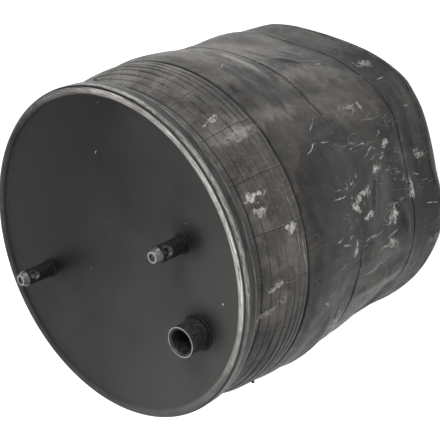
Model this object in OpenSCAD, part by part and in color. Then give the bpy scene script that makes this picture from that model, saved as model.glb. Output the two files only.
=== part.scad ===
/* [Bead plate] */
// Outer diameter of the crimped bead plate
plate_d = 290; // [240:1:350]
// Sheet thickness of the bead plate
plate_t = 3; // [2.5:0.1:3.8]
// Height of the bead plate's flat face above the piston foot at rest
plate_z = 360; // [300:1:440]
// Radial width of the raised rim around the flat face
rim_w = 8.5; // [7.5:0.1:12]
// Height of the raised rim above the flat face
rim_rise = 2.4; // [1:0.1:3]

/* [Mounting studs] */
// Thread diameter of the mounting studs
stud_d = 14; // [11:0.5:17]
// Height of the studs above the flat face
stud_h = 33; // [26:1:50]
// Distance between the two studs
stud_spacing = 175; // [120:1:190]
// Diameter of the cross hole for a split pin
stud_hole_d = 5.5; // [3:0.1:6.6]
// Diameter of the countersink at either end of the cross hole
stud_sink_d = 10; // [7:0.5:10.5]
// Distance of the cross hole's centre from the stud's tip
stud_hole_drop = 11; // [9:0.5:16]
// Diameter of the stud's tip
stud_tip_d = 9.4; // [7.5:0.1:10.8]
// Length of the tapered lead at the tip
stud_taper = 5; // [3:0.1:6]
// Diameter of the welded head under the plate
stud_head_d = 26; // [20:1:32]
// Thickness of the welded head
stud_head_t = 4; // [3:0.5:6]

/* [Air port] */
// Outside diameter of the air port
port_d = 26; // [24.5:0.5:34]
// Diameter of the port's threaded hole at the thread crests
port_bore_d = 20.4; // [16:0.1:22]
// Height of the port above the flat face
port_h = 20; // [12:1:30]
// Distance of the port's centre from the plate's edge
port_edge = 42.5; // [36:0.5:60]
// Angle of the port from the stud line
port_angle = -45; // [-60:1:-35]
// Length of the port below the bead plate
port_tail = 3; // [2:0.5:8]

/* [Bellows] */
// Outside diameter of the free sleeve
sleeve_d = 300; // [250:1:360]
// Thickness of the rubber wall
sleeve_wall = 6; // [5:0.1:7.2]
// Length over which the neck opens out to the free sleeve
neck_len = 62; // [50:1:90]
// Height of the lobe's lowest point above the piston foot at rest
lobe_z = 55; // [50:1:70]
// Radius of the rubber bead at either end
bead_r = 6; // [5:0.1:7.2]
// Width of the square bundle of bead wire
wire_w = 4.4; // [3:0.1:5.3]

/* [Piston] */
// Outside diameter of the piston
piston_d = 220; // [183:1:264]
// Height of the piston's top face
piston_h = 195; // [162:1:234]
// Sheet thickness of the piston
piston_t = 3; // [2.5:0.1:5]
// Radius of the piston's shoulder
shoulder_r = 18; // [14:0.5:24]
// How much the piston's lower end is drawn in, as a radius
foot_draw = 12; // [6:0.5:14]
// Height over which the piston's lower end is drawn in
foot_draw_h = 18; // [14:1:26]
// Outside diameter of the support tube inside the piston
column_d = 60; // [50:1:80]
// Wall of the support tube
column_t = 4; // [3:0.1:5]
// Thickness of the foot plate
foot_t = 6; // [5:0.5:10]
// Diameter of the pilot bore in the foot plate
pilot_d = 40; // [30:1:48]
// Thread diameter of the foot bolts
foot_bolt_d = 12; // [10:1:14]
// Distance of the foot bolts' circle inside the edge of the foot plate
foot_inset = 19.8; // [15:0.1:30]
// Diameter of the drain holes in the foot plate
drain_d = 10; // [6:0.5:14]

/* [Lower clamp and bump stop] */
// Distance of the lower bead's centre line inside the end of the piston's shoulder
bead_inset = 10; // [9:0.5:20]
// Sheet thickness of the end closure
closure_t = 3.5; // [3:0.1:4.2]
// Diameter of the bump stop at its base
bump_d = 100; // [84:1:120]
// How much narrower the bump stop is at its top
bump_taper = 22; // [10:1:26]
// Height of the bump stop above its base plate
bump_h = 60; // [40:1:80]
// Depth of the bump stop's waist
bump_waist = 5; // [2:0.5:6]
// Thickness of the bump stop's base plate
bump_plate_t = 3; // [2:0.5:5]
// Thread diameter of the centre bolt
bolt_d = 16; // [12:1:20]

/* [Hidden] */
$fn = 96;
// Gap between the rubber and the metal that it lies against
seat_gap = 0.3;
// Radial clearance around the centre bolt in the plates
bolt_gap = 0.5;
// Radial clearance around the centre bolt in its washers
washer_gap = 0.25;
// Radial clearance between the washer and the hole through the bump stop
bump_gap = 2;
// Radial clearance of the foot plate in the piston's lower end
foot_gap = 0.2;
// Length of the piston's straight lower end above the foot plate
foot_lip = 3;
// Inside radius of the bends in the bead plate
crimp_bend = 1;
// Angle at which the crimp's curl ends, from the outside of the skirt
curl_end = -120;
// Radius of the shallow groove rolled into the rim, and its place on the rim's outer bend
groove_r = 0.7;
groove_angle = 35;
// Points on each of the rim's bends
bend_points = 16;
// Radial gap between the upper bead and the skirt
bead_play = 1.2;
// Distance of the curl's centre below the centre of the upper bead
curl_drop = 1.7;
// Radial gap between the end of the curl and the neck of the sleeve
neck_gap = 0.5;
// Length of straight neck below the curl
neck_lead = 1;
// How much the stud's shoulder in the plate stands out beyond its thread, as a radius
seat_step = 0.8;
// Height of the end closure's lip above the rubber
lip_gap = 2;
// Thickness of the sealing washer
seal_t = 2.5;
// Thickness of the lock washer
lock_t = 3;
// Length of the centre bolt beyond its nut
bolt_tail = 3;
// Chamfer on the port's mouth
port_chamfer = 1.2;
// Depth and diameter of the centre recess in the stud's tip
tip_recess = 1.5;
tip_recess_d = 6;
// Small chamfer on turned parts
chamfer = 1;
// How far a cutter runs past the face that it cuts
eps = 1;
// Proportions of a standard hexagon: across flats, head, nut and washer as shares of the thread
hex_share = 1.5;
head_share = 0.62;
nut_share = 0.8;
washer_share = 2;
lock_share = 1.7;
// Number of foot bolts, with one weld nut for each
foot_bolts = 4;

plate_r = plate_d / 2;
sleeve_r = sleeve_d / 2;
piston_r = piston_d / 2;
stud_r = stud_d / 2;
stud_seat_r = stud_r + seat_step;
bolt_r = bolt_d / 2;
stud_top = plate_z + stud_h;
plate_under = plate_z - plate_t;
port_rad = plate_r - port_edge;
port_base = plate_under - port_tail;
port_len = plate_z + port_h - port_base;

// upper bead, set in the corner of the skirt and the flat sheet
upper_bead_rad = plate_r - plate_t - bead_play - bead_r;
upper_bead_z = plate_under - seat_gap - bead_r;
// the crimp's two bends lie on one radius, and the lower one curls in under the bead
crimp_r = plate_t + crimp_bend;
bend_rad = plate_r - crimp_r;
top_bend_z = plate_z + rim_rise - crimp_r;
low_bend_z = upper_bead_z - curl_drop;
neck_r = bend_rad + crimp_r * cos(curl_end) - neck_gap;
neck_top_z = low_bend_z - crimp_r - neck_lead;

// the lobe turns back on itself between the free sleeve and the piston
inner_wall_r = piston_r + seat_gap;
lobe_rad = (sleeve_r + inner_wall_r) / 2;
lobe_out_r = (sleeve_r - inner_wall_r) / 2;
lobe_mid_z = lobe_z + lobe_out_r;
shoulder_rad = piston_r - shoulder_r;
shoulder_z = piston_h - shoulder_r;
lower_bead_rad = shoulder_rad - bead_inset;
lower_bead_z = piston_h + seat_gap + bead_r;

// stack on the centre bolt, outwards from the piston's top
piston_under = piston_h - piston_t;
closure_top = piston_h + closure_t;
bump_z = closure_top + bump_plate_t;
head_z = bump_z + seal_t;
head_r = bolt_d * hex_share / sqrt(3);
washer_r = bolt_r * washer_share;
nut_z = piston_under - lock_t - bolt_d * nut_share;
foot_nut_r = foot_bolt_d * hex_share / sqrt(3);
foot_step = 360 / foot_bolts;
// the piston's lower end is drawn in from draw_top to a short straight lip round the foot plate
draw_end = foot_t + foot_lip;
draw_top = draw_end + foot_draw_h;
foot_r = piston_r - foot_draw - piston_t - foot_gap;
foot_bolt_rad = foot_r - foot_inset;

// points along an arc about [x, y], from angle a0 to a1
function arc(x, y, r, a0, a1, n = 8) =
    [for (i = [0:n]) let (a = a0 + (a1 - a0) * i / n) [x + r * cos(a), y + r * sin(a)]];
// eased step from 0 to 1
function ease(t) = t * t * (3 - 2 * t);
// outline of the neck, set in from its outside by inset
function neck_curve(inset, n = 12) =
    [for (i = [0:n]) [neck_r + (sleeve_r - neck_r) * ease(i / n) - inset, neck_top_z - neck_len * i / n]];
// outline of the piston's drawn-in lower end, set in from its outside by inset
function draw_curve(inset, n = 12) =
    [for (i = [0:n]) let (t = i / n, a = atan(6 * foot_draw / foot_draw_h * t * (1 - t)))
        [piston_r - foot_draw * ease(t) - inset * cos(a), draw_top - foot_draw_h * t + inset * sin(a)]];
function reversed(list) = [for (i = [len(list) - 1:-1:0]) list[i]];

module turned(points) {
    rotate_extrude() polygon(points);
}

module hex(r, h) {
    cylinder(r = r, h = h, $fn = 6);
}

// a plain ring, such as a washer or a tube
module ring(outer, inner, h) {
    difference() {
        cylinder(r = outer, h = h);
        translate([0, 0, -eps]) cylinder(r = inner, h = h + 2 * eps);
    }
}

// a hexagon nut
module nut(r, hole, h) {
    difference() {
        hex(r, h);
        translate([0, 0, -eps]) cylinder(r = hole, h = h + 2 * eps);
    }
}

// the square bundle of wire in a bead
module wire_ring(rad, z) {
    rotate_extrude() translate([rad - wire_w / 2, z - wire_w / 2]) square(wire_w);
}

// the round bead at an end of the sleeve
module bead(rad, z) {
    rotate_extrude() translate([rad, z]) circle(r = bead_r);
}

module at_stud(side) {
    translate([side * stud_spacing / 2, 0, 0]) children();
}

module at_port() {
    rotate(port_angle) translate([port_rad, 0, 0]) children();
}

module bead_plate() {
    color([0.14, 0.145, 0.15]) difference() {
        turned(concat(
            [[0, plate_under], [0, plate_z], [plate_r - rim_w, plate_z]],
            arc(bend_rad, top_bend_z, crimp_r, 125, 0, bend_points),
            arc(bend_rad, low_bend_z, crimp_r, 0, curl_end, bend_points),
            arc(bend_rad, low_bend_z, crimp_bend, curl_end, 0, bend_points),
            arc(bend_rad, top_bend_z, crimp_bend, 0, 90, bend_points),
            [[plate_r - rim_w, plate_under]]
        ));
        for (side = [-1, 1])
            at_stud(side) translate([0, 0, plate_under - eps])
                cylinder(r = stud_seat_r, h = plate_t + 2 * eps);
        at_port() translate([0, 0, plate_under - eps]) cylinder(d = port_d, h = plate_t + 2 * eps);
        rotate_extrude()
            translate([bend_rad + crimp_r * cos(groove_angle), top_bend_z + crimp_r * sin(groove_angle)])
                circle(r = groove_r);
    }
}

// head and shoulder in the plate, thread, and a tapered tip
module stud_blank() {
    translate([0, 0, plate_under - stud_head_t]) cylinder(d = stud_head_d, h = stud_head_t);
    translate([0, 0, plate_under - eps]) cylinder(r = stud_seat_r, h = plate_t + eps);
    translate([0, 0, plate_z - eps]) cylinder(r = stud_r, h = stud_h + eps - stud_taper);
    translate([0, 0, stud_top - stud_taper]) cylinder(r1 = stud_r, r2 = stud_tip_d / 2, h = stud_taper);
}

// hole for a split pin along the stud line, countersunk at both ends
module pin_hole() {
    sink = (stud_sink_d - stud_hole_d) / 2;
    rotate([0, 90, 0]) {
        cylinder(d = stud_hole_d, h = stud_d + 2 * eps, center = true);
        for (end = [0, 1])
            mirror([0, 0, end]) translate([0, 0, stud_r - sink])
                cylinder(r1 = stud_hole_d / 2, r2 = stud_hole_d / 2 + sink + eps, h = sink + eps);
    }
}

module stud(side) {
    color([0.42, 0.41, 0.4]) at_stud(side) difference() {
        stud_blank();
        translate([0, 0, stud_top - stud_hole_drop]) pin_hole();
        translate([0, 0, stud_top - tip_recess]) cylinder(d = tip_recess_d, h = tip_recess + eps);
    }
}

module air_port() {
    color([0.15, 0.155, 0.16]) at_port() translate([0, 0, port_base]) difference() {
        ring(port_d / 2, port_bore_d / 2, port_len);
        translate([0, 0, port_len - port_chamfer])
            cylinder(r1 = port_bore_d / 2, r2 = port_bore_d / 2 + 2 * port_chamfer, h = 2 * port_chamfer);
    }
}

module upper_bead_wire() {
    color([0.6, 0.55, 0.42]) wire_ring(upper_bead_rad, upper_bead_z);
}

// one moulded sleeve: bead, neck, free wall, lobe, the wall on the piston and its lower bead
module bellows_sleeve() {
    color([0.2, 0.19, 0.185]) difference() {
        union() {
            turned(concat(
                neck_curve(0),
                arc(lobe_rad, lobe_mid_z, lobe_out_r, 0, -180, 16),
                arc(shoulder_rad, shoulder_z, shoulder_r + seat_gap, 0, 90),
                [[lower_bead_rad, piston_h + seat_gap]],
                [[lower_bead_rad, piston_h + seat_gap + sleeve_wall]],
                arc(shoulder_rad, shoulder_z, shoulder_r + seat_gap + sleeve_wall, 90, 0),
                arc(lobe_rad, lobe_mid_z, lobe_out_r - sleeve_wall, -180, 0, 16),
                reversed(neck_curve(sleeve_wall)),
                [[neck_r - sleeve_wall, upper_bead_z], [neck_r, upper_bead_z]]
            ));
            bead(upper_bead_rad, upper_bead_z);
            bead(lower_bead_rad, lower_bead_z);
        }
        wire_ring(upper_bead_rad, upper_bead_z);
        wire_ring(lower_bead_rad, lower_bead_z);
    }
}

module lower_bead_wire() {
    color([0.6, 0.55, 0.42]) wire_ring(lower_bead_rad, lower_bead_z);
}

// pressed disc that holds the lower bead against the piston's top
module end_closure() {
    well_r = lower_bead_rad - bead_r - seat_gap;
    roof_z = lower_bead_z + bead_r + seat_gap;
    lip_r = lower_bead_rad + bead_r + 2 * seat_gap;
    lip_z = piston_h + seat_gap + sleeve_wall + lip_gap;
    hole_r = bolt_r + bolt_gap;
    color([0.5, 0.5, 0.48]) turned(concat(
        [[hole_r, closure_top], [hole_r, piston_h]],
        [[well_r - chamfer, piston_h], [well_r, piston_h + chamfer], [well_r, roof_z]],
        [[lip_r, roof_z], [lip_r, lip_z], [lip_r + closure_t, lip_z]],
        arc(lip_r, roof_z, closure_t, 0, 90, 6),
        arc(well_r, roof_z, closure_t, 90, 180, 6),
        [[well_r - closure_t, closure_top]]
    ));
}

module bump_stop_plate() {
    color([0.45, 0.45, 0.44]) translate([0, 0, closure_top])
        ring(bump_d / 2, bolt_r + bolt_gap, bump_plate_t);
}

// hollow rubber buffer with one waist
module bump_stop() {
    n = 14;
    hole_r = washer_r + bump_gap;
    base_r = bump_d / 2;
    top_r = (bump_d - bump_taper) / 2;
    side_h = bump_h - bump_waist;
    side = [for (i = [0:n]) let (t = i / n)
        [base_r + (top_r - base_r) * t - bump_waist * sin(180 * t), bump_z + side_h * t]];
    color([0.12, 0.12, 0.12]) turned(concat(
        [[hole_r, bump_z]],
        side,
        arc(top_r - bump_waist, bump_z + side_h, bump_waist, 0, 90, 6),
        [[hole_r + chamfer, bump_z + bump_h], [hole_r, bump_z + bump_h - chamfer]]
    ));
}

module sealing_washer() {
    color([0.3, 0.3, 0.3]) translate([0, 0, bump_z]) ring(washer_r, bolt_r + washer_gap, seal_t);
}

module centre_bolt() {
    tip_z = nut_z - bolt_tail;
    color([0.7, 0.68, 0.6]) union() {
        translate([0, 0, head_z]) hex(head_r, bolt_d * head_share);
        translate([0, 0, tip_z + chamfer]) cylinder(r = bolt_r, h = head_z - tip_z - chamfer + eps);
        translate([0, 0, tip_z]) cylinder(r1 = bolt_r - chamfer, r2 = bolt_r, h = chamfer);
    }
}

module lock_washer() {
    color([0.65, 0.63, 0.57]) translate([0, 0, piston_under - lock_t])
        ring(bolt_r * lock_share, bolt_r + washer_gap, lock_t);
}

module centre_nut() {
    color([0.7, 0.68, 0.6]) translate([0, 0, nut_z]) nut(head_r, bolt_r, bolt_d * nut_share);
}

module piston_shell() {
    hole_r = bolt_r + bolt_gap;
    color([0.13, 0.13, 0.135]) turned(concat(
        [[hole_r, piston_under], [hole_r, piston_h]],
        arc(shoulder_rad, shoulder_z, shoulder_r, 90, 0),
        draw_curve(0),
        [[piston_r - foot_draw, chamfer], [piston_r - foot_draw - piston_t, chamfer]],
        reversed(draw_curve(piston_t)),
        arc(shoulder_rad, shoulder_z, shoulder_r - piston_t, 0, 90)
    ));
}

module piston_column() {
    color([0.16, 0.16, 0.165]) translate([0, 0, foot_t])
        ring(column_d / 2, column_d / 2 - column_t, piston_under - foot_t);
}

module piston_foot() {
    color([0.14, 0.14, 0.145]) difference() {
        ring(foot_r, pilot_d / 2, foot_t);
        for (i = [0:foot_bolts - 1]) {
            rotate((i + 0.5) * foot_step) translate([foot_bolt_rad, 0, -eps])
                cylinder(d = foot_bolt_d, h = foot_t + 2 * eps);
            rotate(i * foot_step) translate([foot_bolt_rad, 0, -eps])
                cylinder(d = drain_d, h = foot_t + 2 * eps);
        }
    }
}

// weld nut over a bolt hole in the foot plate
module foot_nut(i) {
    color([0.62, 0.6, 0.55]) rotate((i - 0.5) * foot_step) translate([foot_bolt_rad, 0, foot_t])
        nut(foot_nut_r, foot_bolt_d / 2, foot_bolt_d * nut_share);
}

bead_plate();
stud(-1);  // stud_left
stud(1);  // stud_right
air_port();
upper_bead_wire();
bellows_sleeve();
lower_bead_wire();
end_closure();
bump_stop_plate();
bump_stop();
sealing_washer();
centre_bolt();
lock_washer();
centre_nut();
piston_shell();
piston_column();
piston_foot();
foot_nut(1);  // foot_nut_1
foot_nut(2);  // foot_nut_2
foot_nut(3);  // foot_nut_3
foot_nut(4);  // foot_nut_4
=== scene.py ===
# %% [markdown]
# # Air spring bellows
#
# An air spring carries a truck's axle on a bag of air. A steel bead plate with two studs closes the
# top, a moulded rubber sleeve holds the air, and a steel piston pushes up into the sleeve, whose
# wall rolls back on itself in a soft lobe.
#
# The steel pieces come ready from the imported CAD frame. This lesson gives them finishes, and makes
# the rubber sleeve, the welds and the small marks of use.

# %% Load the frame
import math
import bpy
import numpy as np
from mathutils import Matrix, Vector


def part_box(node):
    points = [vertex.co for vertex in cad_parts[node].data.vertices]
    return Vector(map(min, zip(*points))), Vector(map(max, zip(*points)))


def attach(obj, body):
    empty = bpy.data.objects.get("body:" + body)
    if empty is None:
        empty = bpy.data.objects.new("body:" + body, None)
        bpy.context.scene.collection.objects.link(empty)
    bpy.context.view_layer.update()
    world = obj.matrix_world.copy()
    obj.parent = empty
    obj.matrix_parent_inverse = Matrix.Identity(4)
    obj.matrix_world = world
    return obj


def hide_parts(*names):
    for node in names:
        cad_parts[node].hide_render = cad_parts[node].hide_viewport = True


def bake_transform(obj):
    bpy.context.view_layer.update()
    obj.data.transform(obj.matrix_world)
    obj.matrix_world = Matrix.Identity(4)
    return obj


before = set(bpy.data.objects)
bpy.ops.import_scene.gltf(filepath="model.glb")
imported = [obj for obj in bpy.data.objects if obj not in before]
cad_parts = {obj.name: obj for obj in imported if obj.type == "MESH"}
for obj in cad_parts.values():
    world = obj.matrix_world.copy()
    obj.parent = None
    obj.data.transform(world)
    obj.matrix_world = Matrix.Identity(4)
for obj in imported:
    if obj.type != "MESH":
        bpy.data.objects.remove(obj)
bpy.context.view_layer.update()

MM = 0.001

# %% [markdown]
# ## Camera
#
# The spring is seen from the side and above, and the camera is rolled so that its long axis lies
# across the picture. A camera's place and turn can be set by hand, but here its three axes are
# known, so they are written as the columns of its matrix.

# %% Camera
IMAGE_SIDE = 440
FOCAL_PIXELS = 1000
SENSOR_WIDTH = 36
camera_data = bpy.data.cameras.new("camera")
camera_data.sensor_width = SENSOR_WIDTH
camera_data.lens = FOCAL_PIXELS * SENSOR_WIDTH / IMAGE_SIDE
camera_data.clip_start = 0.01
camera = bpy.data.objects.new("camera", camera_data)
bpy.context.scene.collection.objects.link(camera)
bpy.context.scene.camera = camera
CAMERA_PLACE = (0.6495, 0.0988, 0.8775)
CAMERA_RIGHT = (0.7003, -0.3059, -0.6451)
CAMERA_BACK = (0.7001, 0.1175, 0.7043)
right = Vector(CAMERA_RIGHT).normalized()
back = Vector(CAMERA_BACK)
back = (back - right * back.dot(right)).normalized()
up = back.cross(right)
camera_turn = Matrix((right, up, back)).transposed().to_4x4()
camera.matrix_world = Matrix.Translation(CAMERA_PLACE) @ camera_turn
print("camera lens", round(camera_data.lens, 1), "mm")

# %% [markdown]
# ## Wires
#
# Both materials and Geometry Nodes are trees of nodes. Long sums are hard to read as nodes, so a
# small class lets a socket be used in plain arithmetic: each sum adds the Math node that does it.

# %% Arithmetic on sockets
def feed(socket, value):
    """Links a wire to a socket, or writes a plain value in it."""
    if isinstance(value, Wire):
        socket.id_data.links.new(value.socket, socket)
    else:
        socket.default_value = value


class Wire:
    """An output socket that can stand in a sum."""

    def __init__(self, socket):
        self.socket = socket
        self.tree = socket.id_data

    def math(self, operation, *others):
        node = self.tree.nodes.new("ShaderNodeMath")
        node.operation = operation
        for place, value in enumerate((self,) + others):
            feed(node.inputs[place], value)
        return Wire(node.outputs[0])

    def __add__(self, other):
        return self.math("ADD", other)

    def __sub__(self, other):
        return self.math("SUBTRACT", other)

    def __mul__(self, other):
        return self.math("MULTIPLY", other)

    def __truediv__(self, other):
        return self.math("DIVIDE", other)

    def __rsub__(self, other):
        return self * -1 + other

    def __abs__(self):
        return self.math("ABSOLUTE")

    __radd__ = __add__
    __rmul__ = __mul__


# %% Short names for the nodes used most
def add_node(tree, kind, settings=None, inputs=None, out=0):
    """Adds a node, sets its options and inputs, and returns one of its outputs as a wire."""
    node = tree.nodes.new(kind)
    for name, value in (settings or {}).items():
        setattr(node, name, value)
    for name, value in (inputs or {}).items():
        feed(node.inputs[name], value)
    return Wire(node.outputs[out])


def ramp(wire, low, high, start=0.0, end=1.0):
    """Eases from start to end while the wire goes from low to high."""
    return add_node(wire.tree, "ShaderNodeMapRange", {"interpolation_type": "SMOOTHSTEP"},
                    {"Value": wire, "From Min": low, "From Max": high, "To Min": start, "To Max": end})


def hump(wire, centre, half_width):
    """1 at the centre, eased to 0 at half_width on either side."""
    return ramp(abs(wire - centre), 0.0, half_width, 1.0, 0.0)


def diagonal(across, along):
    """The distance that two sides at a right angle span."""
    return (across * across + along * along).math("SQRT")


def combine(x, y, z):
    tree = next(value.tree for value in (x, y, z) if isinstance(value, Wire))
    return add_node(tree, "ShaderNodeCombineXYZ", None, {"X": x, "Y": y, "Z": z})


def split(vector):
    node = vector.tree.nodes.new("ShaderNodeSeparateXYZ")
    feed(node.inputs[0], vector)
    return [Wire(node.outputs[place]) for place in range(3)]


def noise(vector, scale, detail=3.0, roughness=0.5, distortion=0.0):
    return add_node(vector.tree, "ShaderNodeTexNoise", None,
                    {"Vector": vector, "Scale": scale, "Detail": detail, "Roughness": roughness,
                     "Distortion": distortion})


# %% [markdown]
# ## Floor, light and backdrop
#
# The photograph was taken on white. The floor and the world look white to the camera and to
# reflections, while large soft lamps light the object, and the floor keeps its shadow. The Light
# Path node tells a material which kind of ray is looking at it. From underneath, the floor is clear.

# %% White floor
FLOOR_SIDE = 14
floor_mesh = bpy.data.meshes.new("floor")
FLOOR_Z = -0.0002
half = FLOOR_SIDE / 2
corners = [(-half, -half, FLOOR_Z), (half, -half, FLOOR_Z), (half, half, FLOOR_Z), (-half, half, FLOOR_Z)]
floor_mesh.from_pydata(corners, [], [(0, 1, 2, 3)])
floor = bpy.data.objects.new("floor", floor_mesh)
bpy.context.scene.collection.objects.link(floor)


def seen_directly(tree):
    """1 for camera, glossy and transmission rays, else 0."""
    path = tree.nodes.new("ShaderNodeLightPath")
    camera_ray, glossy_ray, glass_ray = (Wire(path.outputs[name]) for name in
                                         ("Is Camera Ray", "Is Glossy Ray", "Is Transmission Ray"))
    return camera_ray.math("MAXIMUM", glossy_ray).math("MAXIMUM", glass_ray)


FLOOR_GLOW = 0.8
floor_finish = bpy.data.materials.new("floor_white")
floor_finish.use_nodes = True
floor_tree = floor_finish.node_tree
floor_shader = floor_tree.nodes["Principled BSDF"]
floor_shader.inputs["Base Color"].default_value = (0.8, 0.8, 0.8, 1)
floor_shader.inputs["Roughness"].default_value = 1.0
floor_shader.inputs["Specular IOR Level"].default_value = 0.0
floor_shader.inputs["Emission Color"].default_value = (1, 1, 1, 1)
feed(floor_shader.inputs["Emission Strength"], seen_directly(floor_tree) * FLOOR_GLOW)
clear = add_node(floor_tree, "ShaderNodeBsdfTransparent")
underside = add_node(floor_tree, "ShaderNodeNewGeometry", None, None, "Backfacing")
surface = add_node(floor_tree, "ShaderNodeMixShader", None,
                   {0: underside, 1: Wire(floor_shader.outputs[0]), 2: clear})
feed(floor_tree.nodes["Material Output"].inputs["Surface"], surface)
floor_mesh.materials.append(floor_finish)

# %% World
WORLD_LIGHT = 0.22
world = bpy.data.worlds.new("studio")
bpy.context.scene.world = world
world.use_nodes = True
world_tree = world.node_tree
backdrop = world_tree.nodes["Background"]
backdrop.inputs["Color"].default_value = (1, 1, 1, 1)
feed(backdrop.inputs["Strength"], seen_directly(world_tree) * (1 - WORLD_LIGHT) + WORLD_LIGHT)

# %% Lamps
def soft_lamp(name, place, target, side, watts):
    """A large square lamp at place, turned towards target."""
    lamp_data = bpy.data.lights.new(name, "AREA")
    lamp_data.shape = "SQUARE"
    lamp_data.size = side
    lamp_data.energy = watts
    lamp = bpy.data.objects.new(name, lamp_data)
    bpy.context.scene.collection.objects.link(lamp)
    lamp.location = place
    lamp.rotation_euler = (Vector(target) - Vector(place)).to_track_quat("-Z", "Y").to_euler()
    print(name, watts, "W")


MIDDLE = (0, 0, 0.2)
soft_lamp("key_lamp", (1.1, 1.7, 1.5), MIDDLE, 1.1, 40)
soft_lamp("side_lamp", (1.7, -0.9, 1.3), MIDDLE, 1.4, 4)
soft_lamp("top_lamp", (-0.2, -0.5, 2.1), MIDDLE, 1.2, 12)
soft_lamp("back_lamp", (-1.9, 0.3, 0.7), MIDDLE, 1.4, 6)

bpy.context.scene.view_settings.view_transform = "Standard"

# %% [markdown]
# ## Rubber
#
# Sleeve rubber is dark grey with a warm cast. Talc from the mould, dust and handling leave it
# mottled, and scuffs show pale. Every pattern reads the attribute called rest, which holds each
# point's place before the spring moves, so that it stays on the rubber while the wall rolls.

# %% Start a finish
def new_finish(name, roughness=0.5, specular=0.5):
    """A material with its tree and its Principled shader."""
    material = bpy.data.materials.new(name)
    material.use_nodes = True
    shader = material.node_tree.nodes["Principled BSDF"]
    shader.inputs["Roughness"].default_value = roughness
    shader.inputs["Specular IOR Level"].default_value = specular
    return material, material.node_tree, shader


def mix_colour(factor, low, high):
    """Goes from colour low to colour high as factor goes from 0 to 1."""
    node = factor.tree.nodes.new("ShaderNodeMix")
    node.data_type = "RGBA"
    node.clamp_factor = True
    feed(node.inputs[0], factor)
    feed(node.inputs[6], low)
    feed(node.inputs[7], high)
    return Wire(node.outputs[2])


def add_bump(shader, height, distance):
    """Turns a height wire in millimetres into small relief on the shader."""
    tree = shader.id_data
    normal = add_node(tree, "ShaderNodeBump", None, {"Height": height, "Distance": distance * MM})
    feed(shader.inputs["Normal"], normal)


def set_surface(shader, colour, metallic, roughness, height, distance):
    """Gives a shader its colour, its share of bare metal, its roughness and its relief."""
    feed(shader.inputs["Base Color"], colour)
    feed(shader.inputs["Metallic"], metallic)
    feed(shader.inputs["Roughness"], roughness)
    add_bump(shader, height, distance)


def attribute(tree, name, out=1):
    """A named attribute of the mesh: output 1 is a vector, output 2 a number."""
    return add_node(tree, "ShaderNodeAttribute", {"attribute_name": name}, None, out)


def grey(value, warm=0.0):
    """A grey with a little red and less blue in it, or the other way round."""
    return (value * (1 + warm), value, value * (1 - warm), 1)


# %% Heights of the lines that the mould leaves on the sleeve
BAND_END = 287.5
SECOND_LINE = 212.0
THIRD_LINE = 124.0
NECK_GROOVES = [(335.0, 1.0, 1.0), (326.5, 0.8, 0.6)]
BAND_GROOVES = [(319.0, 1.2, 1.0), (311.5, 1.2, 1.0), (304.5, 1.1, 1.0), (299.0, 1.0, 0.9), (293.5, 1.0, 0.9)]
MOULD_PARTS = 21
MOULD_SHIFT = 0.733
FADED_TURN = 3

# %% [markdown]
# ## Marks of handling
#
# Fine scratches and broader chalky scuffs cover the free wall. Each mark is an ellipse on the wall
# as if it were unrolled flat. Its numbers are its angle, height, half length, half width, tilt and
# strength, with angles in degrees and lengths in millimetres. The material bends its edge with noise.

# %% Marks: angle, height, half length, half width, tilt, strength
THIN_MARKS = [
    (14, 250, 11, 0.65, 108, 1), (21, 232, 13, 0.58, 120, 0.8), (13.5, 229, 7, 0.58, 78, 0.69),
    (-34, 181, 30, 0.9, 91, 1), (-32.5, 166, 15, 0.5, 95, 0.57), (-22, 192, 20, 1.6, 97, 0.55),
    (-28, 172, 16, 1.2, 80, 0.6), (-25, 160, 12, 1, 100, 0.6), (-17, 246, 9, 1, 85, 0.7),
    (-20, 233, 9, 1, 70, 0.7), (-19, 226, 6, 1, 110, 0.6), (-4.3, 236, 15, 0.79, 88, 0.92),
    (-1.5, 236, 8, 0.58, 90, 0.57), (6, 178, 11, 0.79, 107, 0.92), (28, 103, 10, 0.65, 90, 0.92),
    (15, 92, 5, 0.65, 80, 0.69), (-9.5, 106, 9, 0.72, 72, 0.8), (-22.5, 90, 12, 0.72, 84, 0.8),
    (-13.5, 92, 9, 0.58, 75, 0.57), (-38, 256, 8, 1.01, 68, 0.69), (43, 151, 6, 0.65, 100, 0.57),
    (53, 257, 8, 0.86, 112, 0.46), (47.5, 165, 22, 0.58, 56, 0.34), (59, 188, 18, 0.58, 13, 0.34),
    (-21.5, 311, 12, 0.5, 90, 0.69), (-26, 238, 8, 0.65, 95, 0.57), (11, 206, 7, 0.5, 80, 0.46),
    (-10, 296.5, 12, 0.5, 0, 0.69), (-13, 291, 17, 0.65, 0, 0.8), (2, 295.5, 9, 0.43, 0, 0.57),
    (-18, 303, 10, 0.36, 0, 0.46), (120, 210, 32, 0.58, 70, 0.69), (-95, 180, 36, 0.58, 110, 0.69),
    (-150, 240, 26, 0.58, 60, 0.69), (165, 120, 30, 0.58, 100, 0.69)]
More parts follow.
